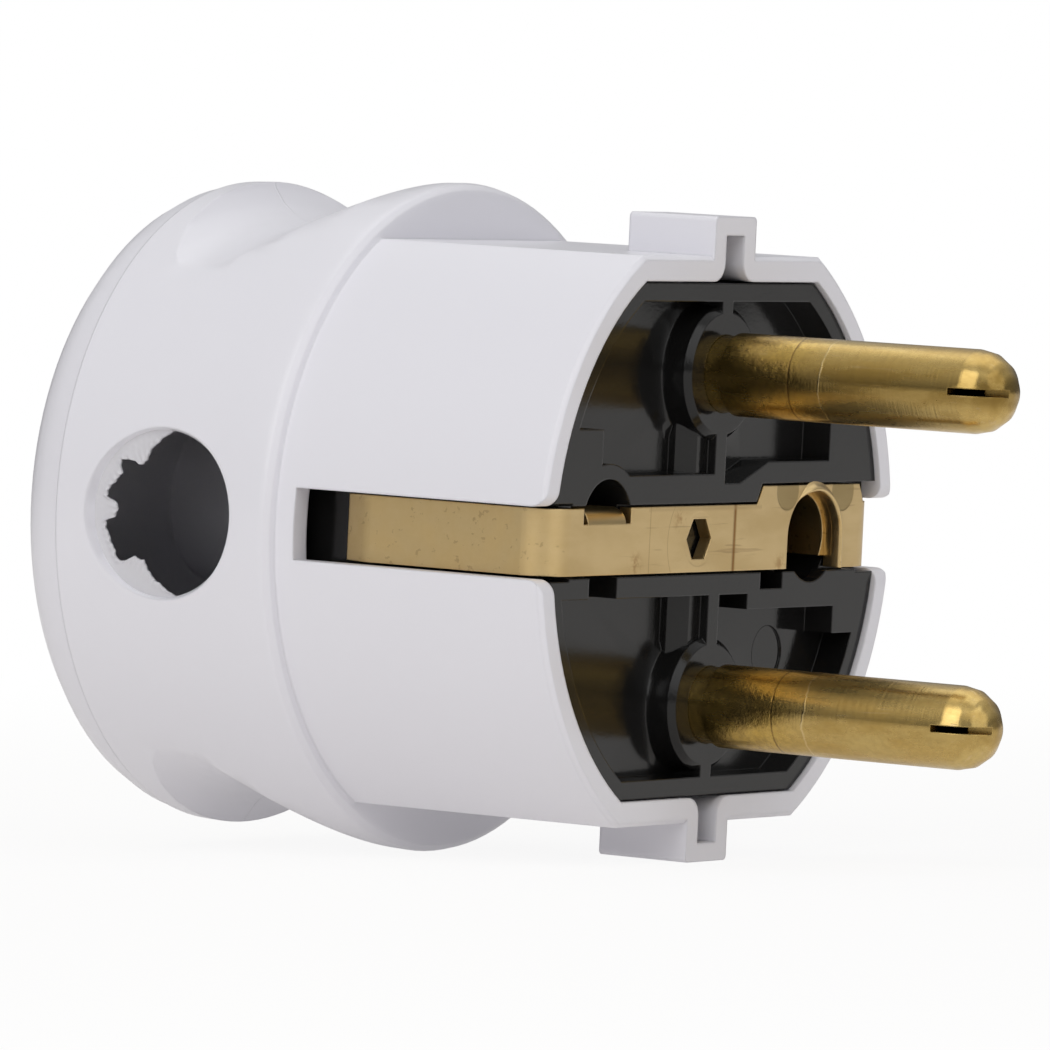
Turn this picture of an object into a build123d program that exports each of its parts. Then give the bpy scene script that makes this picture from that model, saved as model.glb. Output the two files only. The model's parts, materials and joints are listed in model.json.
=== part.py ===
from build123d import *
import math
import os

# Angled two-pin plug with side earth clips and a female earth contact, for rewiring by hand.
# All sizes are in millimetres. X points out along the pins with X = 0 at the rim of the front body,
# Z points up through both pins, and the cord goes in from the -Y side of the grip.

# Allowances: how far a cut runs past the face it opens, how far a joined shape reaches into its neighbour
cut_overrun = 1.0
joint_overlap = 0.1

# Pins
pin_spacing = 19.0
pin_diameter = 4.8
pin_reach = 19.0
pin_wall = 0.85
pin_slit_width = 0.4
pin_slit_length = 3.0
pin_root_step = 0.2
pin_root_length = 0.8
pin_flange_diameter = 6.6
pin_flange_thickness = 1.0
pin_tail_diameter = 3.6
pin_tail_length = 3.2
pin_gap = 0.02
pin_tip_parts = 4

# Front body of the housing
body_diameter = 37.5
body_across_flats = 32.46
body_depth = 18.1
body_wall = 1.35
flat_wall = 1.45
rim_chamfer = 0.25

# Collar, grip and rear end of the housing
collar_step = 0.75
collar_rounding = 0.8
grip_taper = 0.65
rear_depth = 37.1
rear_rounding = 3.7
rear_crease = 0.15
rear_wall = 1.8
cavity_corner = 2.0

# Finger hollows above and below the grip
hollow_depth_from_front = 28.8
hollow_wall = 1.77
hollow_rear_radius = 3.8
hollow_front_radius = 7.0
hollow_slope = 20.5
hollow_rear_turn = 76.0
hollow_cross_radius = 32.0

# Guide lugs on the flats, each with a channel that is open to the front
lug_length = 5.9
lug_width = 4.3
lug_step = 2.27
lug_rounding = 0.3
channel_width = 1.95
channel_length = 4.6
channel_roof = 1.08
channel_flare = 1.1

# Side slots for the earth leaves
slot_length = 16.83
slot_height = 4.1
slot_corner = 0.9

# Cord entry in the side of the grip, with three torn-off web teeth at its rear half
cord_hole_depth = 26.2
cord_hole_diameter = 9.6
cord_hole_flare = 0.45
cord_hole_flare_depth = 0.9
tooth_tip_radius = 3.65
tooth_thickness = 0.8
tooth_bury = 0.3
middle_tooth_width = 1.0

# Screw post and head recess in the rear end
post_diameter = 9.6
post_length = 5.3
head_recess_diameter = 7.4
head_recess_depth = 3.1
screw_clearance = 0.15

# Central fixing screw, its washer and its captive nut
fixing_diameter = 3.5
fixing_head_diameter = 6.4
fixing_head_height = 2.1
fixing_slot_width = 0.9
fixing_slot_depth = 1.0
washer_diameter = 6.9
washer_thickness = 0.5
nut_width = 6.0
nut_thickness = 2.2
nut_depth_from_front = 21.0
screw_end_past_nut = 1.2
fixing_head_chamfer = 0.35
nut_play = 0.05
thread_gap = 0.03

# Pin carrier
carrier_clearance = 0.1
carrier_inset = 0.3
carrier_rim = 1.05
plate_back = 4.2
pocket_depth = 1.9
rib_width = 1.1
boss_diameter = 7.7
boss_root_radius = 0.7
boss_edge_radius = 0.35
fin_width = 2.1
fin_drop = 0.55
fin_bevel = 0.9
skirt_wall = 1.2
skirt_depth = 8.0
column_diameter = 8.8
cheek_wall = 2.6
cheek_half_height = 5.0
cheek_depth = 17.0
far_guide_depth = 26.0

# Ledges of the front face beside the strap
ledge_top = 3.75
ledge_bottom = 3.2
ledge_round_radius = 3.4
near_step_y = 12.4
near_step_z = 6.4
far_step_y = 11.8
far_step_z = 4.4
far_step_top = 7.8
far_ramp_start = 2.2
far_ramp_end = 5.2
low_step_y = 3.6
low_step_z = 4.1
low_corner_y = 13.0
low_corner_z = 5.7
notch_depth = 2.6
near_notch = (-13.2, -10.3, -3.3)
far_notch = (4.9, 7.3, -2.95)
ejector_mark = (9.0, -6.9)
ejector_diameter = 3.2
ejector_step = 0.12

# Earth strap
strap_thickness = 0.8
strap_height = 3.8
strap_centre_z = 0.05
strap_bend = 2.0
leaf_recess = 1.35
leaf_length = 14.2
leaf_curl_length = 1.5
leaf_curl = 0.45
leaf_side_clearance = 0.3
strap_clearance = 0.15
wide_top = 3.0
wide_start = 4.2
wide_slant = 0.6
wide_end_margin = 0.1
hex_across_flats = 2.3
hex_offset = 1.9
tab_centre = 11.6
tab_width = 3.9
tab_bend = 1.0
relief_width = 0.5
relief_depth = 0.9
tab_eye_clearance = 0.1
mouth_radius = 2.54
mouth_rise = 1.0

# Earth socket sleeve
earth_offset = 10.3
sleeve_bore = 4.9
sleeve_wall = 0.6
sleeve_length = 9.4
sleeve_cut = 1.2
arch_diameter = 5.3
sleeve_clearance = 0.05
socket_lip_diameter = 5.3
socket_wall = 1.3
socket_end_lip = 0.8

# Pillar terminals
block_width = 7.0
block_height = 7.4
block_length = 7.0
block_play = 0.05
wire_bore = 3.2
bore_web = 0.4
terminal_thread = 3.0
terminal_head_diameter = 4.4
terminal_head_height = 1.2
terminal_slot_width = 0.7
terminal_slot_depth = 0.6
terminal_head_chamfer = 0.2
block_chamfer = 0.4
leaf_sheet = 0.3
leaf_gap = 0.04
leaf_hook_drop = 0.3
wire_leaf_width = 1.5
well_wall = 1.2
well_lip = 0.5
well_lip_thickness = 0.8
well_lip_margin = 1.0
earth_block_width = 4.6
earth_block_height = 5.0
earth_block_length = 6.0
earth_block_front = 5.0
earth_bore_blind = 1.5
earth_screw_share = 0.62

# Cord saddle on the carrier
saddle_radius = 4.3
saddle_rib = 0.5
saddle_rib_width = 0.8
saddle_inner = 12.0
saddle_clearance = 1.2
saddle_half_height = 5.0
saddle_end_depth = 24.0

# Places worked out from the sizes above
pin_z = pin_spacing / 2
pin_radius = pin_diameter / 2
body_radius = body_diameter / 2
body_half_flat = body_across_flats / 2
collar_radius = body_radius + collar_step
rear_radius = collar_radius - grip_taper
rear_edge_depth = rear_depth - rear_rounding
rear_edge_radius = rear_radius - rear_crease
cavity_radius = body_radius - body_wall
cavity_half_flat = body_half_flat - flat_wall
hollow_half_height = cavity_half_flat + hollow_wall
lug_half_height = body_half_flat + lug_step
channel_half_height = lug_half_height - channel_roof
cavity_depth = rear_depth - rear_wall
carrier_radius = cavity_radius - carrier_clearance
carrier_half_flat = cavity_half_flat - carrier_clearance
pocket_floor = carrier_inset + pocket_depth
strap_front = carrier_inset
strap_back = strap_front + strap_thickness
leaf_outer = body_radius - leaf_recess
leaf_inner = leaf_outer - strap_thickness
wide_end = leaf_outer - strap_bend - wide_end_margin
cheek_inner = carrier_radius - cheek_wall
saddle_outer = cavity_radius - saddle_clearance
strap_top = strap_centre_z + strap_height / 2
strap_bottom = strap_centre_z - strap_height / 2
mouth_centre_z = strap_centre_z + mouth_rise
post_face_depth = cavity_depth - post_length
head_seat_depth = rear_depth - head_recess_depth
cord_hole_radius = cord_hole_diameter / 2
sleeve_outer_radius = sleeve_bore / 2 + sleeve_wall
block_front = plate_back + pin_flange_thickness + block_play
block_back = block_front + block_length
block_centre_z = pin_z + 0.1
terminal_screw_x = (block_back + block_front + pin_tail_length + bore_web) / 2
earth_block_back = earth_block_front + earth_block_length
earth_block_top = strap_top - strap_thickness
earth_block_bottom = earth_block_top - earth_block_height
earth_wire_z = earth_block_bottom + earth_block_height / 2
earth_screw_x = earth_block_front + earth_screw_share * earth_block_length


def flatted_disc(radius, half_flat):
    """Round outline with flats above and below, in the plane across the pins."""
    return Circle(radius) & Rectangle(2 * radius, 2 * half_flat)


def slab(outline, front, back):
    """Extrudes an outline of the Y-Z plane from depth front to depth back behind the front rim."""
    return extrude(Plane.YZ.offset(-back) * outline, back - front, dir=(1, 0, 0))


def sheet_y(outline, y_low, y_high):
    """Extrudes an outline of the X-Z plane between two limits in Y."""
    return extrude(Plane.XZ.offset(-y_high) * outline, y_high - y_low, dir=(0, -1, 0))


def block(x_front, x_back, y_low, y_high, z_low, z_high):
    """Plain box between two depths and two limits each in Y and Z."""
    outline = Pos((y_low + y_high) / 2, (z_low + z_high) / 2) * Rectangle(y_high - y_low, z_high - z_low)
    return slab(outline, x_front, x_back)


def rod_x(radius, front, back, y=0.0, z=0.0):
    """Cylinder along X between two depths."""
    return slab(Pos(y, z) * Circle(radius), front, back)


def rod_z(radius, x, y, z_low, z_high):
    """Cylinder along Z."""
    return Pos(x, y, (z_low + z_high) / 2) * Cylinder(radius, z_high - z_low)


def rod_y(radius, x, z, y_low, y_high):
    """Cylinder along Y."""
    return Pos(x, (y_low + y_high) / 2, z) * Rot(90, 0, 0) * Cylinder(radius, y_high - y_low)


def round_points(centre, radius, start, end, parts):
    """Points of a rounding between two angles in degrees, as that many straight steps."""
    points = []
    for step in range(parts + 1):
        turn = math.radians(start + (end - start) * step / parts)
        points.append((centre[0] + radius * math.cos(turn), centre[1] + radius * math.sin(turn)))
    return points


def mirrored_z(shape):
    """The same piece below the middle plane."""
    return mirror(shape, about=Plane.XY)


def grip_body():
    """Collar, grip, crease and rear end before the finger hollows, turned about the pin direction."""
    rear_centre = (-rear_edge_depth, rear_edge_radius - rear_rounding)
    collar_centre = (-body_depth - collar_rounding, collar_radius - collar_rounding)
    profile = [(-rear_depth, 0)]
    profile += round_points(rear_centre, rear_rounding, 180, 90, 5)
    profile += [(-rear_edge_depth, rear_radius)]
    profile += round_points(collar_centre, collar_rounding, 90, 0, 3)
    profile += [(-body_depth, 0), (-rear_depth, 0)]
    return revolve(make_face(Polyline(*profile)), Axis.X)


def finger_hollow():
    """Tool that cuts the upper finger hollow: a steep rear rounding, a soft front one and a straight ramp."""
    low_x = -hollow_depth_from_front
    low_z = hollow_half_height
    rear_centre = (low_x, low_z + hollow_rear_radius)
    front_centre = (low_x, low_z + hollow_front_radius)
    profile = round_points(rear_centre, hollow_rear_radius, 270 - hollow_rear_turn, 270, 5)
    profile += round_points(front_centre, hollow_front_radius, 270, 270 + hollow_slope, 2)[1:]
    top = collar_radius + cut_overrun
    last = profile[-1]
    ramp_end = (last[0] + (top - last[1]) / math.tan(math.radians(hollow_slope)), top)
    profile += [ramp_end, (profile[0][0], top), profile[0]]
    section = Plane.XZ * make_face(Polyline(*profile))
    turning_line = Axis((0, 0, hollow_half_height - hollow_cross_radius), (1, 0, 0))
    return revolve(section, turning_line)


def guide_lug():
    """Upper guide lug, from inside the wall to its outer face."""
    root_z = (cavity_half_flat + body_half_flat) / 2
    lug = block(0, lug_length, -lug_width / 2, lug_width / 2, root_z, lug_half_height)
    corners = lug.edges().filter_by(Axis.X).group_by(Axis.Z)[-1]
    return fillet(corners, lug_rounding)


def channel_outline():
    """Section of the cavity at the front, with the two lug channels flaring into it."""
    channel = Rectangle(channel_width, 2 * channel_half_height)
    outline = flatted_disc(cavity_radius, cavity_half_flat) + channel
    roots = [
        v
        for v in outline.vertices()
        if abs(abs(v.X) - channel_width / 2) < 0.01 and abs(abs(v.Y) - cavity_half_flat) < 0.01
    ]
    return fillet(roots, channel_flare)


def side_slot(side):
    """Tool for the slot of one earth leaf, open to the front with rounded mouth corners."""
    half = slot_height / 2
    length = slot_length + cut_overrun
    middle_x = cut_overrun - length / 2
    outline = Pos(middle_x, strap_centre_z) * Rectangle(length, slot_height)
    for sign in (-1, 1):
        corner_width = slot_corner + cut_overrun
        corner_place = Pos(cut_overrun - corner_width / 2, strap_centre_z + sign * (half + slot_corner / 2))
        corner = corner_place * Rectangle(corner_width, slot_corner)
        disc = Pos(-slot_corner, strap_centre_z + sign * (half + slot_corner)) * Circle(slot_corner)
        outline += corner - disc
    inner = side * (cavity_radius - cut_overrun)
    outer = side * (body_radius + cut_overrun)
    return sheet_y(outline, min(inner, outer), max(inner, outer))


def web_teeth():
    """What is left of the thin web in the cord entry: two ramped teeth and a narrow one between."""
    tooth_height = cord_hole_radius - tooth_tip_radius
    base = cord_hole_radius + tooth_bury

    def at(radius, angle):
        turn = math.radians(angle)
        return (radius * math.cos(turn), radius * math.sin(turn))

    upper = Polygon(
        at(base, 139), at(tooth_tip_radius, 126), at(tooth_tip_radius + tooth_height / 5, 114),
        at(tooth_tip_radius + tooth_height / 2, 104), at(cord_hole_radius, 90), at(base, 84),
        at(base + tooth_bury, 112),
        align=None,
    )
    lower = mirror(upper, about=Plane.XZ)
    middle = Pos(-(base + tooth_tip_radius) / 2, 0) * Rectangle(base - tooth_tip_radius, middle_tooth_width)
    teeth = upper + lower + middle
    inner_y = -cavity_radius + joint_overlap
    tool = sheet_y(teeth, inner_y - tooth_thickness, inner_y)
    return tool.moved(Location((-cord_hole_depth, 0, 0)))


def cord_hole_mouth():
    """Tool that flares the outer end of the cord entry."""
    outer = grip_radius_at_hole()
    wide = cord_hole_radius + cord_hole_flare
    slope = cord_hole_flare / cord_hole_flare_depth
    length = cord_hole_flare_depth + cut_overrun
    flare = Cone(cord_hole_radius, wide + slope * cut_overrun, length)
    return Pos(-cord_hole_depth, -outer - cut_overrun + length / 2, 0) * Rot(90, 0, 0) * flare


def grip_radius_at_hole():
    """Radius of the tapered grip at the depth of the cord entry."""
    taper_start = body_depth + collar_rounding
    share = (cord_hole_depth - taper_start) / (rear_edge_depth - taper_start)
    return collar_radius - share * grip_taper


def cavity():
    """Tool that hollows the housing, with slanted corners at its far end."""
    corner_x = cavity_corner - cavity_depth

    def half_section(height):
        return [(cut_overrun, height), (corner_x, height), (-cavity_depth, height - cavity_corner)]

    outline = Polyline((cut_overrun, 0), *half_section(cavity_radius), (-cavity_depth, 0), (cut_overrun, 0))
    turned = revolve(make_face(outline), Axis.X)
    below = [(x, -z) for x, z in reversed(half_section(cavity_half_flat))]
    between_flats = Polygon(*half_section(cavity_half_flat), *below, align=None)
    return turned & sheet_y(between_flats, -cavity_radius, cavity_radius)


def housing():
    """White one-piece moulding."""
    body = slab(flatted_disc(body_radius, body_half_flat), 0, body_depth + collar_rounding)
    rim = body.faces().sort_by(Axis.X)[-1]
    body = chamfer(rim.edges(), rim_chamfer)
    hollow = finger_hollow()
    shell = grip_body() - hollow - mirrored_z(hollow)
    lug = guide_lug()
    shell = shell + body + lug + mirrored_z(lug)
    shell -= cavity()
    shell -= slab(channel_outline(), -cut_overrun, channel_length)
    shell -= side_slot(-1)
    shell -= side_slot(1)
    shell -= rod_y(cord_hole_radius, -cord_hole_depth, 0, -collar_radius - cut_overrun, -cavity_radius / 2)
    shell -= cord_hole_mouth()
    shell += rod_x(post_diameter / 2, post_face_depth, (cavity_depth + rear_depth) / 2)
    shell -= rod_x(head_recess_diameter / 2, head_seat_depth, rear_depth + cut_overrun)
    shell -= rod_x(fixing_diameter / 2 + screw_clearance, post_face_depth - cut_overrun, rear_depth)
    shell += web_teeth()
    return shell


def front_pockets():
    """Outline of the recesses in the front face, between rim, rib, bosses and ledges."""
    area = flatted_disc(carrier_radius - carrier_rim, carrier_half_flat - carrier_rim)
    wide = 2 * carrier_radius
    ledge = Polygon(
        (-wide, -ledge_bottom), (low_step_y, -ledge_bottom), (low_step_y, -low_step_z),
        (low_corner_y, -low_step_z), (low_corner_y, -low_corner_z), (wide, -low_corner_z),
        (wide, far_step_top), (far_step_y, far_step_top), (far_step_y, far_step_z),
        (far_ramp_end, far_step_z), (far_ramp_start, ledge_bottom),
        (rib_width / 2, ledge_bottom), (rib_width / 2, ledge_top),
        (-near_step_y, ledge_top), (-near_step_y, near_step_z), (-wide, near_step_z),
        align=None,
    )
    mouth_ring = Pos(-tab_centre, mouth_centre_z) * Circle(ledge_round_radius)
    rib = Rectangle(rib_width, 4 * carrier_radius)
    return area - ledge - mouth_ring - rib


def pin_boss():
    """Upper boss round a pin, turned, with a rounded edge and a soft root on the pocket floor."""
    radius = boss_diameter / 2
    root_centre = (boss_root_radius - pocket_floor, radius + boss_root_radius)
    edge_centre = (-carrier_inset - boss_edge_radius, radius - boss_edge_radius)
    base_x = -pocket_floor - joint_overlap
    profile = [(-carrier_inset, 0), (base_x, 0), (base_x, radius + boss_root_radius)]
    profile += round_points(root_centre, boss_root_radius, 180, 270, 2)
    profile += round_points(edge_centre, boss_edge_radius, 90, 0, 1)
    profile += [(-carrier_inset, 0)]
    turned = revolve(make_face(Polyline(*profile)), Axis.X)
    return turned.moved(Location((0, 0, pin_z)))


def rib_fin():
    """Upper fin on the near side of the centre rib, between ledge and boss, bevelled at its near edge."""
    front = carrier_inset + fin_drop
    y_low = -rib_width / 2 - fin_width
    fin = block(front, pocket_floor + joint_overlap, y_low, 0, ledge_bottom - joint_overlap, pin_z - pin_radius)
    near_edge = fin.edges().filter_by(Axis.Z).group_by(Axis.X)[-1].sort_by(Axis.Y)[0]
    return chamfer(near_edge, fin_bevel)


def terminal_well():
    """Upper well of the carrier: two side walls, a floor and snap lips behind the block."""
    inner = block_width / 2 + block_play
    outer = inner + well_wall
    low = block_centre_z - block_height / 2 - block_play
    front = plate_back - joint_overlap
    back = block_back + block_play
    lip_back = back + well_lip_thickness
    well = block(front, back, -outer, outer, low - well_wall, low)
    for sign in (-1, 1):
        y_low = min(sign * inner, sign * outer)
        y_high = max(sign * inner, sign * outer)
        well += block(front, lip_back, y_low, y_high, low - well_wall, carrier_half_flat)
        lip_low = min(sign * (inner - well_lip), sign * outer)
        lip_high = max(sign * (inner - well_lip), sign * outer)
        lip_top = low + block_height - well_lip_margin
        well += block(back, lip_back, lip_low, lip_high, low + well_lip_margin, lip_top)
    return well


def cord_saddle():
    """Arm behind the near cheek whose hollow end presses the cord against the teeth of the entry."""
    arm = block(
        cheek_depth - cut_overrun, saddle_end_depth, -saddle_outer, -saddle_inner,
        -saddle_half_height, saddle_half_height,
    )
    ribs = arm
    outer_y = -saddle_outer - cut_overrun
    arm -= rod_y(saddle_radius, -cord_hole_depth, 0, outer_y, -saddle_inner + cut_overrun)
    for share in (0.25, 0.75):
        centre = -saddle_outer + share * (saddle_outer - saddle_inner)
        low = centre - saddle_rib_width / 2
        high = centre + saddle_rib_width / 2
        ring = rod_y(saddle_radius + joint_overlap, -cord_hole_depth, 0, low, high)
        ring -= rod_y(saddle_radius - saddle_rib, -cord_hole_depth, 0, low - cut_overrun, high + cut_overrun)
        arm += ring & ribs
    return arm


def leaf_groove(side):
    """Tool for the groove of one leaf down the carrier's side, wider at the bend of the strap."""
    low_z = strap_bottom - leaf_side_clearance
    high_z = strap_top + leaf_side_clearance
    outer = side * (carrier_radius + cut_overrun)
    floor = side * (leaf_inner - leaf_curl - strap_clearance)
    back = cheek_depth + cut_overrun
    groove = block(-cut_overrun, back, min(floor, outer), max(floor, outer), low_z, high_z)
    bend_floor = side * (leaf_outer - strap_bend - strap_clearance)
    bend_back = strap_front + strap_bend + strap_clearance
    groove += block(-cut_overrun, bend_back, min(bend_floor, outer), max(bend_floor, outer), low_z, high_z)
    return groove


def strap_seat():
    """Tool for everything the strap needs in the carrier: face channel, leaf grooves, tab mouth, notches."""
    play = strap_clearance
    wide = carrier_radius + cut_overrun
    back = strap_back + play
    seat = block(-cut_overrun, back, -wide, wide, strap_bottom - play, strap_top + play)
    raised = Polygon(
        (wide_start - play, strap_top), (wide, strap_top), (wide, wide_top + play),
        (wide_start + wide_slant - play, wide_top + play),
        align=None,
    )
    seat += slab(raised, -cut_overrun, back)
    seat += leaf_groove(-1)
    seat += leaf_groove(1)
    mouth = Pos(-tab_centre, mouth_centre_z) * Circle(mouth_radius)
    seat += slab(mouth, -cut_overrun, plate_back + cut_overrun)
    for low, high, bottom in (near_notch, far_notch):
        seat += block(-cut_overrun, notch_depth, low, high, bottom, strap_bottom)
    return seat


def pin_carrier():
    """Black insert that holds pins, terminals and the earth strap."""
    outline = flatted_disc(carrier_radius, carrier_half_flat)
    behind_plate = plate_back - joint_overlap
    carrier = slab(outline, carrier_inset, plate_back)
    carrier -= slab(front_pockets(), carrier_inset - cut_overrun, pocket_floor)
    boss = pin_boss()
    fin = rib_fin()
    carrier += boss + fin
    carrier += mirrored_z(boss + fin)
    skirt_outline = outline - flatted_disc(carrier_radius - skirt_wall, carrier_half_flat - skirt_wall)
    carrier += slab(skirt_outline, behind_plate, skirt_depth)
    side_strip = outline & Rectangle(4 * carrier_radius, 2 * cheek_half_height)
    past_middle = Pos(cheek_inner - carrier_radius, 0) * Rectangle(2 * carrier_radius, 4 * carrier_radius)
    far_cheek = side_strip - past_middle
    carrier += slab(far_cheek, behind_plate, far_guide_depth)
    carrier += slab(mirror(far_cheek, about=Plane.YZ), behind_plate, cheek_depth)
    well = terminal_well()
    carrier += well
    carrier += mirrored_z(well)
    carrier += rod_x(column_diameter / 2, behind_plate, post_face_depth)
    tower_bore = sleeve_outer_radius + sleeve_clearance
    sleeve_end = strap_back + sleeve_length + sleeve_clearance
    carrier += rod_x(tower_bore + socket_wall, behind_plate, sleeve_end + socket_end_lip, earth_offset)
    carrier += cord_saddle()
    carrier -= strap_seat()

    # Bores of the pins, of the earth socket and of the fixing screw, and the pocket of its nut
    pin_bore = pin_radius - pin_root_step + pin_gap
    for sign in (-1, 1):
        carrier -= rod_x(pin_bore, -cut_overrun, plate_back + cut_overrun, 0, sign * pin_z)
    tower_end = sleeve_end + socket_end_lip
    carrier -= rod_x(socket_lip_diameter / 2, -cut_overrun, tower_end + cut_overrun, earth_offset)
    carrier -= rod_x(tower_bore, strap_back + strap_clearance, sleeve_end, earth_offset)
    screw_end = nut_depth_from_front - screw_end_past_nut
    screw_bore = fixing_diameter / 2 + screw_clearance
    carrier -= rod_x(screw_bore, screw_end - screw_clearance, post_face_depth + cut_overrun)
    half_nut = nut_width / 2 + strap_clearance
    carrier -= block(
        nut_depth_from_front, nut_depth_from_front + nut_thickness + 2 * nut_play,
        -half_nut, column_diameter, -half_nut, half_nut,
    )
    mark = Pos(*ejector_mark) * Circle(ejector_diameter / 2)
    carrier -= slab(mark, pocket_floor - ejector_step, pocket_floor + ejector_step)
    return carrier


def brass_pin():
    """Rolled pin at Z = 0: flange behind the plate, tail for the terminal, neck and slit round tip."""
    nose = pin_reach - pin_radius
    back = plate_back
    tail_end = back + pin_flange_thickness + pin_tail_length
    neck = pin_radius - pin_root_step
    outline = round_points((nose, 0), pin_radius, 0, 90, pin_tip_parts)
    outline += [
        (pin_root_length, pin_radius), (pin_root_length, neck),
        (-back, neck), (-back, pin_flange_diameter / 2),
        (-back - pin_flange_thickness, pin_flange_diameter / 2),
        (-back - pin_flange_thickness, pin_tail_diameter / 2),
        (-tail_end, pin_tail_diameter / 2), (-tail_end, 0), outline[0],
    ]
    pin = revolve(make_face(Polyline(*outline)), Axis.X)
    core = pin_radius - pin_wall
    core_end = pin_reach - 2 * pin_wall
    pin -= Pos(core_end / 2, 0, 0) * Rot(0, 90, 0) * Cylinder(core, core_end)
    slit_start = pin_reach - pin_slit_length
    slit_length = pin_slit_length + cut_overrun
    slit_height = pin_diameter - pin_wall
    pin -= Pos(slit_start + slit_length / 2, -pin_radius, 0) * Box(slit_length, slit_height, pin_slit_width)
    return pin


def earth_strap():
    """Stamped and folded strap: front run, two side leaves, bent tab and arched opening."""
    straight = leaf_length - leaf_curl_length
    half = strap_thickness / 2
    side = leaf_outer - half
    front = -strap_front - half
    path = FilletPolyline(
        (-leaf_length, -side + leaf_curl),
        (-straight, -side),
        (front, -side),
        (front, side),
        (-straight, side),
        (-leaf_length, side - leaf_curl),
        radius=[leaf_curl_length, strap_bend - half, strap_bend - half, leaf_curl_length],
    )
    ribbon = trace(path, strap_thickness)
    strap = extrude(ribbon, wide_top - strap_bottom, dir=(0, 0, 1))
    strap = strap.moved(Location((0, 0, strap_bottom)))

    # Side view of the sheet seen from the front: narrow, then raised round the earth opening
    wide = body_radius
    front_view = Polygon(
        (-wide, strap_bottom), (wide, strap_bottom), (wide, strap_top),
        (wide_end + wide_slant, strap_top), (wide_end, wide_top),
        (wide_start + wide_slant, wide_top), (wide_start, strap_top), (-wide, strap_top),
        align=None,
    )
    arch = Pos(earth_offset, 0) * Circle(arch_diameter / 2)
    arch += Pos(earth_offset, strap_bottom) * Rectangle(arch_diameter, -2 * strap_bottom)
    front_view -= arch
    front_view -= Pos(-hex_offset, strap_centre_z) * RegularPolygon(
        hex_across_flats / 2, 6, major_radius=False
    )
    for sign in (-1, 1):
        y = -tab_centre + sign * (tab_width / 2 + relief_width / 2)
        front_view -= Pos(y, strap_top) * Rectangle(relief_width, 2 * relief_depth)
    strap = strap & slab(front_view, -cut_overrun, slot_length)

    # Tab: a quarter bend out of the top edge, then a flat tail over the earth terminal
    tab_low = -tab_centre - tab_width / 2
    tab_high = -tab_centre + tab_width / 2
    bend_z = strap_top - tab_bend
    front_x = strap_front - cut_overrun
    back_x = strap_back + cut_overrun
    strap -= block(front_x, back_x, tab_low, tab_high, bend_z, strap_top + cut_overrun)
    bend_x = -strap_front - tab_bend
    bend = Pos(bend_x, bend_z) * (Circle(tab_bend) - Circle(tab_bend - strap_thickness))
    bend = bend & Pos(bend_x + tab_bend / 2, bend_z + tab_bend / 2) * Rectangle(tab_bend, tab_bend)
    tail_length = earth_block_back + bend_x
    tail_place = Pos(bend_x - tail_length / 2, strap_top - strap_thickness / 2)
    tail = tail_place * Rectangle(tail_length, strap_thickness)
    strap += sheet_y(bend + tail, tab_low, tab_high)
    eye = terminal_thread / 2 + tab_eye_clearance
    strap -= rod_z(eye, -earth_screw_x, -tab_centre, strap_top - 2 * strap_thickness, strap_top + cut_overrun)
    return strap


def earth_socket_sleeve():
    """Spring sleeve behind the arched opening, open along its lower side."""
    outline = Circle(sleeve_outer_radius) - Circle(sleeve_bore / 2)
    below = Pos(0, -sleeve_cut - sleeve_outer_radius)
    outline -= below * Rectangle(3 * sleeve_outer_radius, 2 * sleeve_outer_radius)
    return slab(Pos(earth_offset, 0) * outline, strap_back, strap_back + sleeve_length)


def terminal_block():
    """Upper pillar terminal with bores for pin tail, wire and screw."""
    low = block_centre_z - block_height / 2
    pillar = block(block_front, block_back, -block_width / 2, block_width / 2, low, low + block_height)
    pillar = chamfer(pillar.edges().filter_by(Axis.Z), block_chamfer)
    tail_end = block_front + pin_tail_length
    pillar -= rod_x(pin_tail_diameter / 2 + block_play, block_front - cut_overrun, tail_end, 0, pin_z)
    pillar -= rod_x(wire_bore / 2, tail_end + bore_web, block_back + cut_overrun, 0, pin_z)
    thread_top = low + block_height + cut_overrun
    pillar -= rod_z(terminal_thread / 2 + thread_gap, -terminal_screw_x, 0, pin_z, thread_top)
    return pillar


def earth_terminal_block():
    """Pillar terminal under the tab of the strap, with a blind wire bore from behind."""
    y_low = -tab_centre - earth_block_width / 2
    y_high = -tab_centre + earth_block_width / 2
    pillar = block(earth_block_front, earth_block_back, y_low, y_high, earth_block_bottom, earth_block_top)
    pillar = chamfer(pillar.edges().filter_by(Axis.Z), block_chamfer)
    bore_start = earth_block_front + earth_bore_blind
    pillar -= rod_x(wire_bore / 2, bore_start, earth_block_back + cut_overrun, -tab_centre, earth_wire_z)
    thread_top = earth_block_top + cut_overrun
    pillar -= rod_z(terminal_thread / 2 + thread_gap, -earth_screw_x, -tab_centre, earth_wire_z, thread_top)
    return pillar


def slotted_screw(seat_z, tip_z):
    """Terminal screw along Z at the origin of X and Y, head above its seat."""
    screw = rod_z(terminal_thread / 2, 0, 0, tip_z, seat_z + joint_overlap)
    head = rod_z(terminal_head_diameter / 2, 0, 0, seat_z, seat_z + terminal_head_height)
    head = chamfer(head.edges().sort_by(Axis.Z)[-1], terminal_head_chamfer)
    screw += head
    slot_z = seat_z + terminal_head_height - terminal_slot_depth / 2
    return screw - Pos(0, 0, slot_z) * Box(2 * terminal_head_diameter, terminal_slot_width, terminal_slot_depth)


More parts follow.
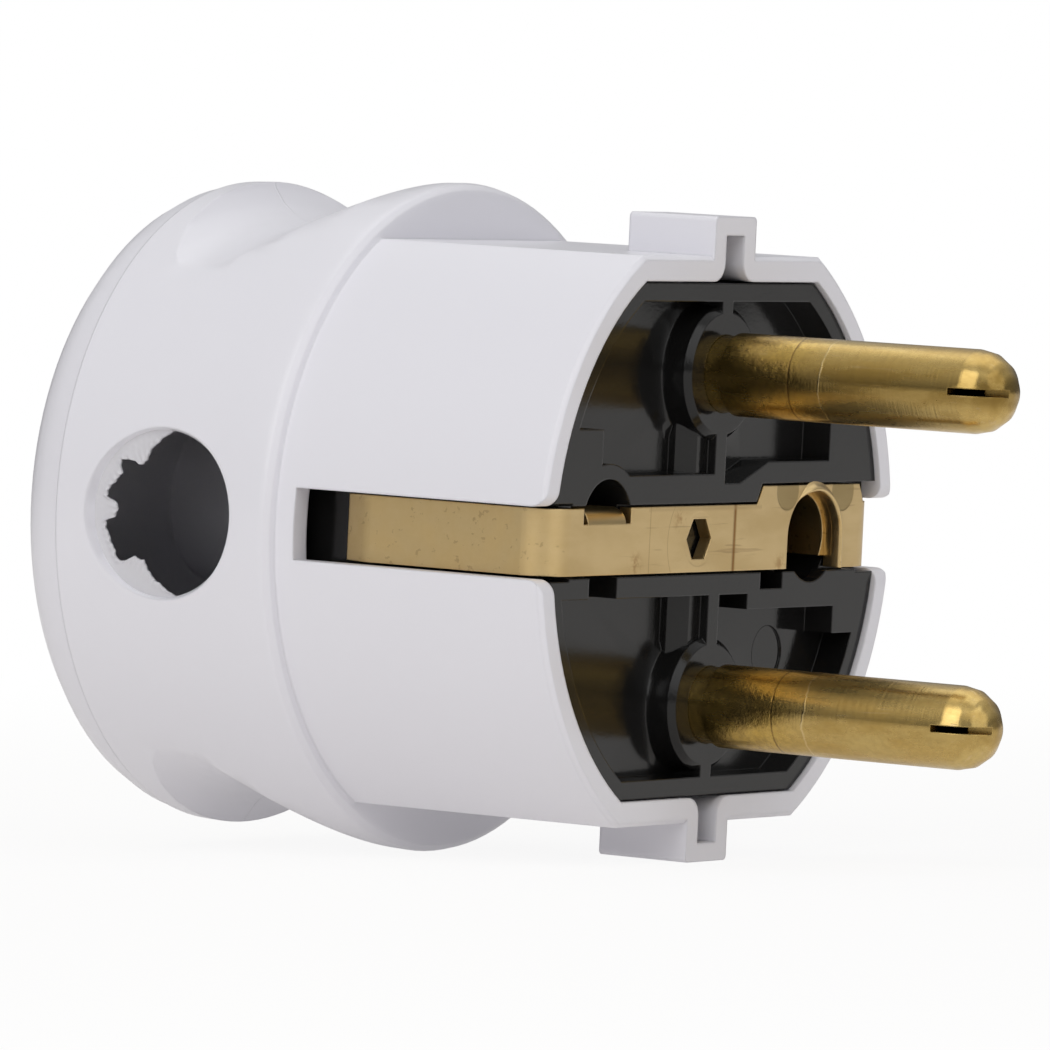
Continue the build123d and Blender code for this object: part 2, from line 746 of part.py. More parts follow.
def wire_leaf(bore_z, back, front, top_z):
    """Thin leaf between screw and wire, hooked up over the rear face of its block, and its upper level."""
    half_width = wire_leaf_width / 2
    upper = bore_z + math.sqrt((wire_bore / 2) ** 2 - half_width**2) - leaf_gap
    lower = upper - leaf_sheet
    rear = back + leaf_sheet
    flat = Pos(-(front + rear) / 2, lower + leaf_sheet / 2) * Rectangle(rear - front, leaf_sheet)
    hook = Pos(-back - leaf_sheet / 2, (lower + top_z) / 2) * Rectangle(leaf_sheet, top_z - lower)
    return sheet_y(flat + hook, -half_width, half_width), upper


def fixing_screw():
    """Long cheese-head screw from the rear end into the captive nut."""
    seat = head_seat_depth + washer_thickness
    end = nut_depth_from_front - screw_end_past_nut
    top = seat + fixing_head_height
    shank = rod_x(fixing_diameter / 2, end, seat + joint_overlap)
    head = rod_x(fixing_head_diameter / 2, seat, top)
    head = chamfer(head.edges().sort_by(Axis.X)[0], fixing_head_chamfer)
    slot = block(
        top - fixing_slot_depth, top + cut_overrun,
        -fixing_head_diameter, fixing_head_diameter, -fixing_slot_width / 2, fixing_slot_width / 2,
    )
    return shank + head - slot


def fixing_washer():
    """Washer under the head of the fixing screw."""
    ring = Circle(washer_diameter / 2) - Circle(fixing_diameter / 2 + screw_clearance)
    return slab(ring, head_seat_depth, head_seat_depth + washer_thickness)


def fixing_nut():
    """Square nut in the column of the carrier."""
    outline = Rectangle(nut_width, nut_width) - Circle(fixing_diameter / 2 + thread_gap)
    front = nut_depth_from_front + nut_play
    return slab(outline, front, front + nut_thickness)


def write(shape, name):
    """Writes one piece to its own file."""
    export_step(shape, f"parts/{name}.step")


os.makedirs("parts", exist_ok=True)

write(housing(), "housing")
write(pin_carrier(), "pin_carrier")

pin = brass_pin()
write(pin.moved(Location((0, 0, pin_z))), "upper_pin")
write(pin.moved(Location((0, 0, -pin_z))), "lower_pin")

write(earth_strap(), "earth_strap")
write(earth_socket_sleeve(), "earth_socket_sleeve")

upper_block = terminal_block()
write(upper_block, "upper_terminal_block")
write(mirrored_z(upper_block), "lower_terminal_block")

block_top = block_centre_z + block_height / 2
bore_front = block_front + pin_tail_length + bore_web + leaf_gap
upper_leaf, leaf_top = wire_leaf(pin_z, block_back, bore_front, block_top - leaf_hook_drop)
write(upper_leaf, "upper_wire_leaf")
write(mirrored_z(upper_leaf), "lower_wire_leaf")

upper_screw = slotted_screw(block_top, leaf_top).moved(Location((-terminal_screw_x, 0, 0)))
write(upper_screw, "upper_terminal_screw")
write(mirrored_z(upper_screw), "lower_terminal_screw")

write(earth_terminal_block(), "earth_terminal_block")

earth_bore_front = earth_block_front + earth_bore_blind + leaf_gap
hook_top = earth_block_top - leaf_hook_drop
earth_leaf, earth_leaf_top = wire_leaf(earth_wire_z, earth_block_back, earth_bore_front, hook_top)
write(earth_leaf.moved(Location((0, -tab_centre, 0))), "earth_wire_leaf")
earth_screw = slotted_screw(strap_top, earth_leaf_top).moved(Location((-earth_screw_x, -tab_centre, 0)))
write(earth_screw, "earth_terminal_screw")

write(fixing_screw(), "fixing_screw")
write(fixing_washer(), "fixing_washer")
write(fixing_nut(), "fixing_nut")
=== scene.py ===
"""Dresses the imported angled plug: its finishes, fine surface detail, floor, lamps and camera."""

import json
import logging
import math
from dataclasses import dataclass, field
from enum import Enum

import bmesh
import bpy
import numpy as np
from mathutils import Matrix, Vector

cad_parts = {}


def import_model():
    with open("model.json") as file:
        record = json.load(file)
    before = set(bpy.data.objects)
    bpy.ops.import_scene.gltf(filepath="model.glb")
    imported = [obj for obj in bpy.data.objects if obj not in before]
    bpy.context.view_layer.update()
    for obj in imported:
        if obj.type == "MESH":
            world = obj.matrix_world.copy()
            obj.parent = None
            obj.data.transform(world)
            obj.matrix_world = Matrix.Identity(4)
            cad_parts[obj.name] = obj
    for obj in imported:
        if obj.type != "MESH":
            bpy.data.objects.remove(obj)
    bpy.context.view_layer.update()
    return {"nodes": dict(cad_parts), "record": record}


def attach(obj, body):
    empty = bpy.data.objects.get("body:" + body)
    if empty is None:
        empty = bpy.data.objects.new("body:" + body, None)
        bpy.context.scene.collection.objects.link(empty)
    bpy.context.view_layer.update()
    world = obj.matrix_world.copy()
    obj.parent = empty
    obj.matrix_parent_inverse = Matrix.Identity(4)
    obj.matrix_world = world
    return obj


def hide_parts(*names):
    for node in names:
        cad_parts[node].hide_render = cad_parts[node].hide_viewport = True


MM = 0.001
BODY = "root"
BEVEL_SAMPLES = 6
PIECE_CREASE = math.radians(50.0)

# Where the nodes of a tree are drawn: the step to the right, the step down and the steps down in a row.
NODE_STEP = 190
NODE_DROP = 40
NODE_ROW = 7

# Places of the two inputs and of the result in a Mix node, by its data type.
MIX_SOCKETS = {"FLOAT": (2, 3, 0), "RGBA": (6, 7, 2)}

log = logging.getLogger("plug")

Colour = tuple[float, float, float]
Point = tuple[float, float, float]

# The two ends of a range, or two lengths that belong together.
Span = tuple[float, float]

# Scale, detail and roughness of a noise.
Noise = tuple[float, float, float]

# Start and end of the input's range, then the results there.
Ramp = tuple[float, float, float, float]

Socket = bpy.types.NodeSocket


class Slot(Enum):
    """Material slots of the record that a dressed piece takes its finish from."""

    WHITE = "white_plastic"
    BLACK = "black_plastic"
    PIN = "pin_brass"
    STRAP = "strap_brass"
    TERMINAL = "terminal_brass"
    STEEL = "zinc_steel"


class Grain(Enum):
    """Direction in which a metal piece was rolled, drawn or rubbed."""

    ALONG_X = (0.06, 1.0, 1.0)
    ALONG_Y = (1.0, 0.06, 1.0)
    ALONG_Z = (1.0, 1.0, 0.06)


def opaque(colour: Socket | Colour) -> Socket | tuple[float, ...]:
    """Gives a plain colour its full alpha and leaves a socket as it is."""
    return colour if isinstance(colour, bpy.types.NodeSocket) else (*colour, 1.0)


@dataclass
class NodeBench:
    """Places and links shader nodes in one tree."""

    tree: bpy.types.NodeTree
    column: int = 0

    def add(self, kind: str, **settings: object) -> bpy.types.Node:
        """Adds a node and sets its plain settings.

        Args:
            kind: Blender's type name of the node.
            settings: attributes of the node and their values.

        Returns:
            The new node.
        """
        node = self.tree.nodes.new(kind)
        node.location = (self.column * NODE_STEP, -NODE_DROP * (self.column % NODE_ROW))
        self.column += 1
        for name, value in settings.items():
            setattr(node, name, value)
        return node

    def link(self, source: Socket, target: Socket) -> None:
        """Joins an output to an input."""
        self.tree.links.new(source, target)

    def feed(self, target: Socket, value: Socket | float | tuple[float, ...]) -> None:
        """Links a socket to an input, or sets a plain value there."""
        if isinstance(value, bpy.types.NodeSocket):
            self.link(value, target)
        else:
            target.default_value = value

    def maths(self, operation: str, *values: Socket | float) -> Socket:
        """Adds a Math node.

        Args:
            operation: the operation's name in Blender.
            values: its inputs, in order.

        Returns:
            The output socket.
        """
        node = self.add("ShaderNodeMath", operation=operation)
        for place, value in enumerate(values):
            self.feed(node.inputs[place], value)
        return node.outputs[0]

    def product(self, first: Socket, *others: Socket | float) -> Socket:
        """Multiplies a value by one or more others."""
        for other in others:
            first = self.maths("MULTIPLY", first, other)
        return first

    def vectors(self, operation: str, *values: Socket | Point) -> Socket:
        """Adds a Vector Math node.

        Args:
            operation: the operation's name in Blender.
            values: its inputs, in order.

        Returns:
            The output socket: a length for DISTANCE and LENGTH, otherwise a vector.
        """
        node = self.add("ShaderNodeVectorMath", operation=operation)
        for place, value in enumerate(values):
            self.feed(node.inputs[place], value)
        return node.outputs["Value" if operation in ("DISTANCE", "LENGTH") else "Vector"]

    def remap(self, value: Socket, low: float, high: float, out_low: float, out_high: float) -> Socket:
        """Maps a range smoothly on to another one.

        Args:
            value: the input.
            low: start of the input's range.
            high: end of the input's range.
            out_low: result at and below the start.
            out_high: result at and above the end.

        Returns:
            The output socket.
        """
        node = self.add("ShaderNodeMapRange", interpolation_type="SMOOTHSTEP", clamp=True)
        self.link(value, node.inputs["Value"])
        limits = {"From Min": low, "From Max": high, "To Min": out_low, "To Max": out_high}
        for name, limit in limits.items():
            node.inputs[name].default_value = limit
        return node.outputs["Result"]

    def noise(self, vector: Socket, scale: float, detail: float = 2.0, rough: float = 0.5) -> Socket:
        """Adds a Noise texture on a vector and returns its value."""
        node = self.add("ShaderNodeTexNoise")
        self.link(vector, node.inputs["Vector"])
        for name, value in {"Scale": scale, "Detail": detail, "Roughness": rough}.items():
            node.inputs[name].default_value = value
        return node.outputs["Fac"]

    def mix(self, kind: str, share: Socket, first: Socket | object, second: Socket | object) -> Socket:
        """Adds a Mix node.

        Args:
            kind: its data type.
            share: 0 for the first, 1 for the second.
            first: a socket or a plain value.
            second: a socket or a plain value.

        Returns:
            The mixed value.
        """
        node = self.add("ShaderNodeMix", data_type=kind)
        first_place, second_place, result_place = MIX_SOCKETS[kind]
        self.link(share, node.inputs[0])
        self.feed(node.inputs[first_place], first)
        self.feed(node.inputs[second_place], second)
        return node.outputs[result_place]

    def blend(self, share: Socket, first: Socket | float, second: Socket | float) -> Socket:
        """Blends two numbers by a share that is 0 for the first and 1 for the second."""
        return self.mix("FLOAT", share, first, second)

    def mix_colour(self, share: Socket, first: Socket | Colour, second: Socket | Colour) -> Socket:
        """Mixes two colours by a share that is 0 for the first and 1 for the second."""
        return self.mix("RGBA", share, opaque(first), opaque(second))

    def split(self, vector: Socket) -> tuple[Socket, Socket, Socket]:
        """Splits a vector into its three lengths."""
        node = self.add("ShaderNodeSeparateXYZ")
        self.link(vector, node.inputs[0])
        return node.outputs[0], node.outputs[1], node.outputs[2]

    def distance(self, vector: Socket, centre_mm: Point) -> Socket:
        """Gives the distance in metres from a point in mm."""
        return self.vectors("DISTANCE", vector, tuple(part * MM for part in centre_mm))

    def band(self, value: Socket, centre_mm: float, half_mm: float) -> Socket:
        """Marks a soft line where a length in metres is near a centre in mm."""
        away = self.maths("ABSOLUTE", self.maths("SUBTRACT", value, centre_mm * MM))
        return self.remap(away, 0.0, half_mm * MM, 1.0, 0.0)

    def spot(self, vector: Socket, centre_mm: Point, radius_mm: float, soft_mm: float) -> Socket:
        """Marks a round spot with a soft rim.

        Args:
            vector: the place.
            centre_mm: the middle of the spot in mm.
            radius_mm: its radius.
            soft_mm: how far inside the radius it begins to fade.

        Returns:
            1 inside, 0 outside.
        """
        away = self.distance(vector, centre_mm)
        return self.remap(away, (radius_mm - soft_mm) * MM, radius_mm * MM, 1.0, 0.0)


def blank_bench(owner: bpy.types.Material | bpy.types.World) -> NodeBench:
    """Empties the node tree of a material or world and gives its bench."""
    owner.use_nodes = True
    owner.node_tree.nodes.clear()
    return NodeBench(owner.node_tree)


def new_group(
    name: str, inputs: list[tuple[str, float | None]], outputs: list[str]
) -> tuple[NodeBench, bpy.types.Node, bpy.types.Node]:
    """Starts a shader node group with named sockets.

    Args:
        name: the group's name.
        inputs: name and default of each input, with None for a vector.
        outputs: names of the outputs, which are all plain values.

    Returns:
        The group's bench, and its input and output nodes.
    """
    tree = bpy.data.node_groups.new(name, "ShaderNodeTree")
    for label, value in inputs:
        kind = "NodeSocketVector" if value is None else "NodeSocketFloat"
        socket = tree.interface.new_socket(label, in_out="INPUT", socket_type=kind)
        if value is not None:
            socket.default_value = value
    for label in outputs:
        tree.interface.new_socket(label, in_out="OUTPUT", socket_type="NodeSocketFloat")
    bench = NodeBench(tree)
    return bench, bench.add("NodeGroupInput"), bench.add("NodeGroupOutput")


@dataclass
class SurfaceEffects:
    """Shader node groups that more than one finish uses."""

    moulded_skin: bpy.types.NodeTree = field(init=False)
    rubbed_metal: bpy.types.NodeTree = field(init=False)
    wave_scale: float = 260.0
    grain_scale: float = 5200.0
    tone: Noise = (45.0, 3.0, 0.6)
    speck_scale: float = 420.0
    speck_radius: float = 0.07
    hair_scale: float = 9000.0
    coarse: Noise = (2400.0, 2.0, 0.65)
    scratch_ridge: Ramp = (0.63, 0.70, 0.0, 1.0)
    cloud: Noise = (620.0, 5.0, 0.62)
    cloud_ramp: Ramp = (0.25, 0.75, 0.0, 1.0)
    cloud_stretched: float = 0.75

    def __post_init__(self) -> None:
        """Builds the groups once."""
        self.moulded_skin = self._moulded_skin()
        self.rubbed_metal = self._rubbed_metal()

    def _moulded_skin(self) -> bpy.types.NodeTree:
        """Skin of a moulding: soft waviness, fine grain, uneven tone and a few dark specks.

        Height is waviness times noise at the wave scale plus grain times noise at the grain scale.
        Specks are the cells of a Voronoi pattern whose distance is under a small radius and whose
        own random value is low.

        Returns:
            The node group.
        """
        bench, source, sink = new_group(
            "Moulded skin",
            [("Vector", None), ("Waviness", 0.3), ("Grain", 0.1), ("Speck share", 0.04)],
            ["Height", "Tone", "Speck"],
        )
        vector = source.outputs["Vector"]
        soft = bench.product(bench.noise(vector, self.wave_scale), source.outputs["Waviness"])
        fine = bench.product(bench.noise(vector, self.grain_scale), source.outputs["Grain"])
        bench.link(bench.maths("ADD", soft, fine), sink.inputs["Height"])
        bench.link(bench.noise(vector, *self.tone), sink.inputs["Tone"])
        cells = bench.add("ShaderNodeTexVoronoi")
        cells.inputs["Scale"].default_value = self.speck_scale
        bench.link(vector, cells.inputs["Vector"])
        near = bench.maths("LESS_THAN", cells.outputs["Distance"], self.speck_radius)
        random = bench.add("ShaderNodeSeparateColor")
        bench.link(cells.outputs["Color"], random.inputs[0])
        chosen = bench.maths("LESS_THAN", random.outputs[0], source.outputs["Speck share"])
        bench.link(bench.product(near, chosen), sink.inputs["Speck"])
        return bench.tree

    def _rubbed_metal(self) -> bpy.types.NodeTree:
        """Worked metal: stretched hairlines, cloudy tarnish and longer, rarer scratches.

        The stretched vector is the place times the stretch, so noise on it is drawn out where the
        stretch is small. Scratches keep only the highest ridge of a coarser stretched noise. The
        clouds are noise on a weighted mean of the stretched and the plain vector.

        Returns:
            The node group.
        """
        bench, source, sink = new_group(
            "Rubbed metal",
            [("Vector", None), ("Stretch", None), ("Hairline", 0.5), ("Scratch", 0.5)],
            ["Height", "Tarnish", "Line"],
        )
        vector = source.outputs["Vector"]
        stretched = bench.vectors("MULTIPLY", vector, source.outputs["Stretch"])
        scratch = bench.remap(bench.noise(stretched, *self.coarse), *self.scratch_ridge)
        fine = bench.product(bench.noise(stretched, self.hair_scale), source.outputs["Hairline"])
        deep = bench.product(scratch, source.outputs["Scratch"])
        bench.link(bench.maths("SUBTRACT", fine, deep), sink.inputs["Height"])
        plain = bench.vectors("MULTIPLY", vector, (1.0 - self.cloud_stretched,) * 3)
        mean = bench.vectors("MULTIPLY_ADD", stretched, (self.cloud_stretched,) * 3, plain)
        cloud = bench.remap(bench.noise(mean, *self.cloud), *self.cloud_ramp)
        bench.link(cloud, sink.inputs["Tarnish"])
        bench.link(scratch, sink.inputs["Line"])
        return bench.tree


def start_material(name: str) -> tuple[bpy.types.Material, NodeBench, bpy.types.Node, Socket]:
    """Starts a node material with one Principled shader.

    Args:
        name: the material's name.

    Returns:
        The material, its bench, the shader and the object coordinates.
    """
    material = bpy.data.materials.new(name)
    bench = blank_bench(material)
    place = bench.add("ShaderNodeTexCoord")
    shader = bench.add("ShaderNodeBsdfPrincipled")
    output = bench.add("ShaderNodeOutputMaterial")
    bench.link(shader.outputs[0], output.inputs[0])
    return material, bench, shader, place.outputs["Object"]


def use_group(
    bench: NodeBench, tree: bpy.types.NodeTree, vector: Socket, **values: object
) -> bpy.types.Node:
    """Places a node group in a material.

    Args:
        bench: the material's bench.
        tree: the group.
        vector: what its Vector input reads.
        values: its other inputs, with _ for a space.

    Returns:
        The group's node.
    """
    node = bench.add("ShaderNodeGroup", node_tree=tree)
    bench.link(vector, node.inputs["Vector"])
    for name, value in values.items():
        node.inputs[name.replace("_", " ").capitalize()].default_value = value
    return node


def add_bump(
    bench: NodeBench,
    shader: bpy.types.Node,
    height: Socket,
    depth_mm: float,
    strength: float,
    edge_mm: float,
) -> None:
    """Feeds a height and softly rounded edges to the shader's normal.

    Args:
        bench: the material's bench.
        shader: the shader.
        height: the height, where 1 stands for the depth.
        depth_mm: the depth.
        strength: how strongly it shows.
        edge_mm: radius of the edges' rounding.
    """
    bump = bench.add("ShaderNodeBump")
    edge = bench.add("ShaderNodeBevel", samples=BEVEL_SAMPLES)
    edge.inputs["Radius"].default_value = edge_mm * MM
    bench.link(edge.outputs[0], bump.inputs["Normal"])
    bump.inputs["Strength"].default_value = strength
    bump.inputs["Distance"].default_value = depth_mm * MM
    bench.link(height, bump.inputs["Height"])
    bench.link(bump.outputs[0], shader.inputs["Normal"])


@dataclass(frozen=True)
class Tint:
    """A colour, and the share of it that a mark takes on."""

    colour: Colour
    share: float = 1.0

    def over(self, bench: NodeBench, base: Socket, mask: Socket) -> Socket:
        """Lays the tint over a base colour where a mask is set.

        Args:
            bench: the material's bench.
            base: the colour so far.
            mask: where the mark is, between 0 and 1.

        Returns:
            The tinted colour.
        """
        return bench.mix_colour(bench.product(mask, self.share), base, self.colour)


@dataclass(frozen=True)
class MouldedPlastic:
    """Finish of a plastic or thermoset moulding."""

    name: str
    colour: Colour
    shade: Colour
    speck_colour: Colour
    speck_share: float
    roughness: Span
    waviness: float
    grain: float
    depth_mm: float
    edge_mm: float
    refraction: float = 1.5
    parting: float = 0.0
    parting_behind_mm: float = -18.6
    parting_half_mm: float = 0.12
    rough_tones: Span = (0.3, 0.7)
    bump_strength: float = 0.5

    def build(self, effects: SurfaceEffects) -> bpy.types.Material:
        """Makes the material, with the mould's parting line behind the front body where it has one.

        Args:
            effects: the shared node groups.

        Returns:
            The material.
        """
        material, bench, shader, place = start_material(self.name)
        skin = use_group(
            bench, effects.moulded_skin, place,
            waviness=self.waviness, grain=self.grain, speck_share=self.speck_share,
        )
        base = bench.mix_colour(skin.outputs["Tone"], self.colour, self.shade)
        spotted = bench.mix_colour(skin.outputs["Speck"], base, self.speck_colour)
        bench.link(spotted, shader.inputs["Base Color"])
        rough = bench.remap(skin.outputs["Tone"], *self.rough_tones, *self.roughness)
        bench.link(rough, shader.inputs["Roughness"])
        shader.inputs["IOR"].default_value = self.refraction
        height = skin.outputs["Height"]
        if self.parting:
            depth, side, _ = bench.split(place)
            behind = bench.maths("LESS_THAN", depth, self.parting_behind_mm * MM)
            line = bench.product(bench.band(side, 0.0, self.parting_half_mm), behind)
            height = bench.maths("MULTIPLY_ADD", line, self.parting, height)
        add_bump(bench, shader, height, self.depth_mm, self.bump_strength, self.edge_mm)
        return material


@dataclass(frozen=True)
class WorkedMetal:
    """Finish of a drawn, stamped or turned metal piece."""

    name: str
    colour: Colour
    tarnish: Colour
    line_colour: Colour
    grain: Grain
    roughness: Span
    hairline: float
    scratch: float
    depth_mm: float
    edge_mm: float
    line_share: float = 0.6
    bump_strength: float = 0.35

    def build(self, effects: SurfaceEffects) -> bpy.types.Material:
        """Makes the material.

        Args:
            effects: the shared node groups.

        Returns:
            The material.
        """
        material, bench, shader, place = start_material(self.name)
        metal = use_group(
            bench, effects.rubbed_metal, place,
            stretch=self.grain.value, hairline=self.hairline, scratch=self.scratch,
        )
        base = bench.mix_colour(metal.outputs["Tarnish"], self.colour, self.tarnish)
        lined = Tint(self.line_colour, self.line_share).over(bench, base, metal.outputs["Line"])
        colour, height = self.marked(bench, place, lined, metal)
        bench.link(colour, shader.inputs["Base Color"])
        rough = bench.remap(metal.outputs["Tarnish"], 0.0, 1.0, *self.roughness)
        bench.link(rough, shader.inputs["Roughness"])
        shader.inputs["Metallic"].default_value = 1.0
        add_bump(bench, shader, height, self.depth_mm, self.bump_strength, self.edge_mm)
        return material

    def marked(
        self, bench: NodeBench, place: Socket, base: Socket, metal: bpy.types.Node
    ) -> tuple[Socket, Socket]:
        """Adds the marks that only this kind of piece has, of which a plain one has none.

        Args:
            bench: the material's bench.
            place: object coordinates.
            base: the colour so far.
            metal: the worked metal group in this material.

        Returns:
            The colour and the height with the marks.
        """
        return base, metal.outputs["Height"]


@dataclass(frozen=True)
class PinBrass(WorkedMetal):
    """Rolled pins: darker and granular towards the root, satin and finely turned towards the tip."""

    patina: Colour = (0.61, 0.41, 0.105)
    # Painted dark reflection: the pins' sides that face neither up nor down are darkened towards this
    # colour.
    painted_side_reflection: Colour = (0.23, 0.145, 0.035)
    speckle: Colour = (0.27, 0.17, 0.06)
    seam: Tint = Tint((0.16, 0.09, 0.03), 0.7)
    # Painted highlight: a lighter line on the edge of the turned step, which the bump also raises.
    turned_step_highlight: Tint = Tint((0.74, 0.58, 0.30), 0.6)
    pin_z_mm: float = 9.5
    seam_mm: float = 5.4
    seam_half_mm: float = 0.10
    turned_from_mm: float = 7.5
    edge_ahead_mm: float = 0.4
    edge_half_mm: float = 0.09
    edge_wander_mm: float = 0.8
    root_wander_mm: float = 1.2
    root_before_mm: float = 0.3
    root_beyond_mm: float = 1.6
    cloud: Noise = (420.0, 4.0, 0.6)
    worn: Ramp = (0.30, 0.62, 0.35, 1.0)
    above_underside: Ramp = (-0.60, -0.15, 0.0, 1.0)
    below_top: Ramp = (0.30, 0.75, 1.0, 0.0)
    painted_reflection_shares: Span = (0.30, 0.92)
    streaks: Ramp = (0.2, 0.8, 0.7, 1.0)
    specks: Noise = (2600.0, 3.0, 0.7)
    speck_ramp: Ramp = (0.38, 0.66, 0.0, 0.38)
    tip_speck_share: float = 0.45
    ring_stretch: Point = (1.0, 0.03, 0.03)
    rings: Noise = (7000.0, 2.0, 0.5)
    ring_height: float = 1.3
    grains: Noise = (2900.0, 3.0, 0.65)
    grain_height: float = 5.0

    def marked(
        self, bench: NodeBench, place: Socket, base: Socket, metal: bpy.types.Node
    ) -> tuple[Socket, Socket]:
        """Adds the patina, a painted dark reflection on the sides, a dark seam and a painted highlight at
        the turned step across the pin, its granular skin and the turned tip half.

        The root half fades out between the seam and the turned half, along a line that a cloudy
        noise bends.
        """
        along, _, up = bench.split(place)
        cloud = bench.noise(place, *self.cloud)
        bent = bench.maths("MULTIPLY_ADD", cloud, self.root_wander_mm * MM, along)
        fades_from = (self.seam_mm - self.root_before_mm) * MM
        fades_to = (self.turned_from_mm + self.root_beyond_mm) * MM
        root = bench.remap(bent, fades_from, fades_to, 1.0, 0.0)
        worn = bench.remap(cloud, *self.worn)
        colour = bench.mix_colour(bench.product(root, worn), base, self.patina)
        # Painted dark reflection on the pins' sides, chosen by the way each side faces.
        colour = bench.mix_colour(self._painted_reflection_share(bench, up, metal), colour, self.painted_side_reflection)
        speck = bench.remap(bench.noise(place, *self.specks), *self.speck_ramp)
        speck = bench.product(speck, bench.blend(root, self.tip_speck_share, 1.0))
        colour = bench.mix_colour(speck, colour, self.speckle)
        seam = bench.band(along, self.seam_mm, self.seam_half_mm)
        bent = bench.maths("MULTIPLY_ADD", cloud, self.edge_wander_mm * MM, along)
        edge = bench.band(bent, self.turned_from_mm + self.edge_ahead_mm, self.edge_half_mm)
        colour = self.seam.over(bench, colour, seam)
        # Painted highlight along the turned step's edge.
        colour = self.turned_step_highlight.over(bench, colour, edge)
        turned = bench.vectors("MULTIPLY", place, self.ring_stretch)
        rings = bench.product(bench.noise(turned, *self.rings), self.ring_height)
        grains = bench.product(bench.noise(place, *self.grains), self.grain_height)
        skin = bench.blend(root, rings, grains)
        height = bench.maths("ADD", bench.maths("ADD", metal.outputs["Height"], skin), edge)
        return colour, bench.maths("SUBTRACT", height, seam)

    def _painted_reflection_share(self, bench: NodeBench, up: Socket, metal: bpy.types.Node) -> Socket:
        """Marks the painted dark reflection on the pins' sides that face neither up nor down, in streaks
        and more on the upper pin.

        Args:
            bench: the material's bench.
            up: height of the place.
            metal: the worked metal group in this material.

        Returns:
            The share of the painted dark reflection.
        """
        facing = bench.add("ShaderNodeNewGeometry")
        _, _, upwards = bench.split(facing.outputs["Normal"])
        not_under = bench.remap(upwards, *self.above_underside)
        not_top = bench.remap(upwards, *self.below_top)
        reflection_by_height = bench.remap(up, -self.pin_z_mm * MM, self.pin_z_mm * MM, *self.painted_reflection_shares)
        streak = bench.remap(metal.outputs["Tarnish"], *self.streaks)
        return bench.product(not_under, not_top, reflection_by_height, streak)


